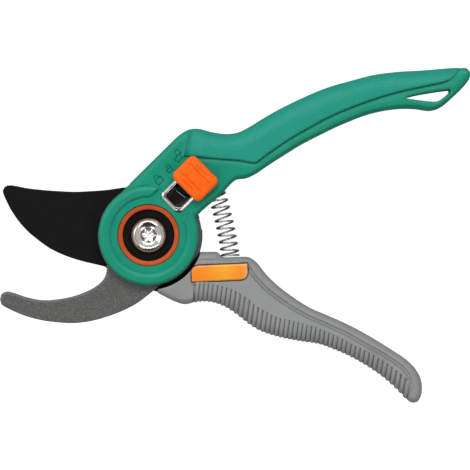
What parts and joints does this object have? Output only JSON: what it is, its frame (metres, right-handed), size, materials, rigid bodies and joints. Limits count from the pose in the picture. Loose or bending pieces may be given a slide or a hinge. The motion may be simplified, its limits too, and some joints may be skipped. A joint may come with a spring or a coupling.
{
  "type": "pruning shears",
  "caption": "Bypass pruning shears with a curved cutting blade and hook, contoured two-part handles, a coil return spring and a sliding thumb lock.",
  "frame": {"origin": "on the pivot bolt's axis, in the plane of the bolt's end and the backs of the handles, which the shears lie on", "axes": "+X from the pivot towards the handles' tails, +Y from the hook side to the blade side, +Z out of the front, where the bolt's head and the lock button are"},
  "size_m": [0.2018, 0.1437, 0.0202],
  "materials": {
    "hook_steel": "dark grey hammered coating",
    "blade_steel": "matt black non-stick coating",
    "green_nylon": "satin moulded",
    "green_grip": "fine dotted soft grip",
    "grey_nylon": "satin moulded",
    "grey_grip": "ribbed soft grip",
    "orange_plastic": "satin moulded",
    "ring_plastic": "satin moulded",
    "badge_resin": "domed clear resin over an orange ground",
    "black_plastic": "matt",
    "plated_steel": "bright nickel plate",
    "spring_steel": "drawn wire",
    "bearing_bronze": "turned"
  },
  "bodies": {
    "upper_handle": {"hook_blade": "hook_steel", "upper_handle_core": "green_nylon", "upper_handle_grip": "green_grip", "slider_bezel": "plated_steel", "pivot_ring": "ring_plastic", "front_washer": "black_plastic", "pivot_bolt": "plated_steel", "pivot_nut": "plated_steel", "rear_washer": "plated_steel", "detent_spring": "spring_steel", "upper_tang_screws": "plated_steel"},
    "lower_handle": {"cutting_blade": "blade_steel", "blade_bush": "bearing_bronze", "lower_handle_core": "grey_nylon", "lower_handle_grip": "grey_grip", "badge_plate": "badge_resin", "lower_tang_screws": "plated_steel", "coil_spring": "spring_steel"},
    "lock_slider": {"lock_button": "orange_plastic", "lock_carriage": "black_plastic", "lock_pin": "plated_steel"}
  },
  "joints": [
    {"name": "pivot", "type": "hinge", "parent": "upper_handle", "child": "lower_handle", "pos_m": [0, 0, 0.008], "axis": [0, 0, 1], "range_deg": [0, 40], "stiffness_Nm_per_rad": 1.68, "springref_deg": -20.05, "deforming": ["coil_spring"]},
    {"name": "lock_slide", "type": "slide", "parent": "upper_handle", "child": "lock_slider", "axis": [-0.7071, -0.7071, 0], "range_m": [0, 0.0115]}
  ]
}
